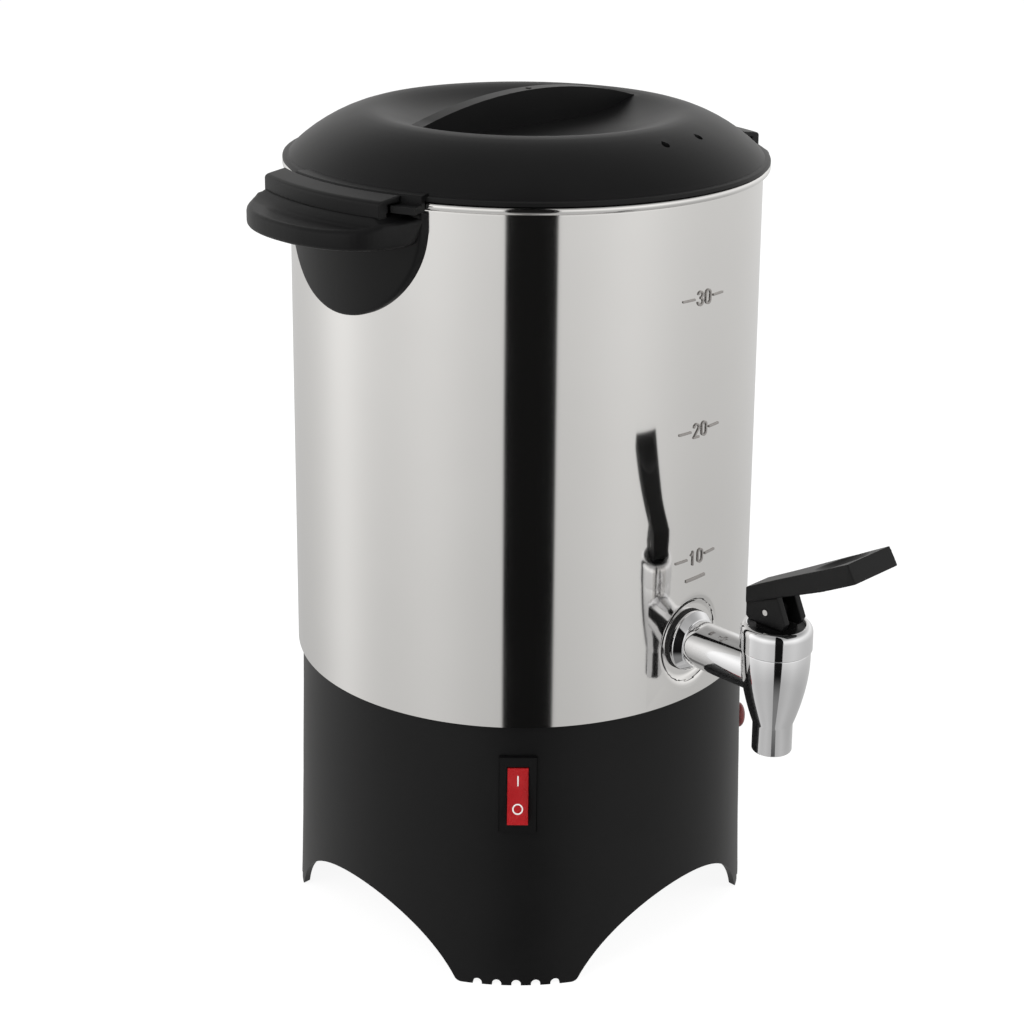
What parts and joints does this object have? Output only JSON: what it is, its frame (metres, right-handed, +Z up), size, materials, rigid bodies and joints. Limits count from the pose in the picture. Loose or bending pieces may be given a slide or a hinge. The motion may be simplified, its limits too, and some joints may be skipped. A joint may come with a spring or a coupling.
{
  "type": "coffee urn",
  "caption": "Electric percolator urn: polished steel drum on an arched black base, domed bayonet lid with a grip bar, side handles, lever tap, rocker switch and pilot lamp.",
  "frame": {"origin": "centre of the circle of the four feet, on the surface the urn stands on, on the drum's axis", "axes": "+Z up along the drum's axis; -Y towards the tap; the two handles lie along X, with the switch on the -X side of the tap"},
  "size_m": [0.265, 0.2938, 0.3608],
  "materials": {
    "polished_steel": "mirror polished",
    "steel": "bright drawn",
    "chrome": "bright chrome plate on brass",
    "black_plastic": "satin, heat resistant",
    "red_plastic": "clear red, lit from within",
    "silicone": "silicone",
    "black_rubber": "matt",
    "brass": "plain",
    "ceramic": "unglazed steatite",
    "aluminium": "cast",
    "heater_sheath": "heat-darkened",
    "brown_wire": "silicone sleeve",
    "blue_wire": "silicone sleeve",
    "green_wire": "silicone sleeve",
    "white_wire": "glass sleeve"
  },
  "bodies": {
    "urn": {"tank_wall": "polished_steel", "level_marks": "polished_steel", "tank_floor": "steel", "floor_studs": "steel", "stud_nuts": "steel", "base_shell": "black_plastic", "bottom_cover": "black_plastic", "cover_screws": "steel", "heater_plate": "aluminium", "heating_element": "heater_sheath", "boil_thermostat": "ceramic", "warm_thermostat": "ceramic", "thermal_fuse": "brass", "terminal_block": "ceramic", "live_wire": "brown_wire", "neutral_wire": "blue_wire", "earth_wire": "green_wire", "lamp_wires": "white_wire", "inlet_housing": "black_plastic", "inlet_pins": "brass", "switch_housing": "black_plastic", "switch_terminals": "brass", "lamp_lens": "red_plastic", "lamp_nut": "black_plastic", "handle_left": "black_plastic", "handle_right": "black_plastic", "lid_hook_left": "black_plastic", "lid_hook_right": "black_plastic", "handle_screws": "steel", "handle_washers": "silicone", "tap_body": "chrome", "tap_shank": "chrome", "tap_flange": "chrome", "tap_seal_outer": "black_rubber", "tap_seal_inner": "black_rubber", "tap_nut": "chrome", "tap_collar": "chrome", "tap_bonnet": "black_plastic", "stem_tube": "steel", "stem_foot": "steel", "basket": "steel", "basket_cover": "steel"},
    "switch_rocker": {"switch_rocker": "red_plastic"},
    "lid_inner": {"lid_liner": "steel", "lid_seal": "silicone"},
    "lid": {"lid_cover": "black_plastic", "liner_screw": "steel"},
    "valve": {"valve_stem": "black_plastic", "valve_cup": "silicone", "valve_spring": "steel", "lever_pin": "steel"},
    "lever": {"tap_lever": "black_plastic"}
  },
  "joints": [
    {"name": "lid_lift", "type": "slide", "parent": "urn", "child": "lid_inner", "axis": [0, 0, 1], "range_m": [0, 0.12]},
    {"name": "lid_turn", "type": "hinge", "parent": "lid_inner", "child": "lid", "pos_m": [0, 0, 0.332], "axis": [0, 0, 1], "range_deg": [-18, 0]},
    {"name": "valve_lift", "type": "slide", "parent": "urn", "child": "valve", "axis": [0, 0, 1], "range_m": [0, 0.00295], "deforming": ["valve_spring"]},
    {"name": "lever_tilt", "type": "hinge", "parent": "valve", "child": "lever", "pos_m": [0, -0.1432, 0.1705], "axis": [1, 0, 0], "range_deg": [0, 25], "stiffness_Nm_per_rad": 0.5, "springref_deg": -8.59},
    {"name": "switch_rocker_tilt", "type": "hinge", "parent": "urn", "child": "switch_rocker", "pos_m": [-0.06944, -0.06944, 0.0868], "axis": [0.7071, -0.7071, 0], "range_deg": [0, 20]}
  ],
  "couplings": [
    {"joint": "lever_tilt", "follows": "valve_lift", "rad_per_m": 147.8}
  ]
}
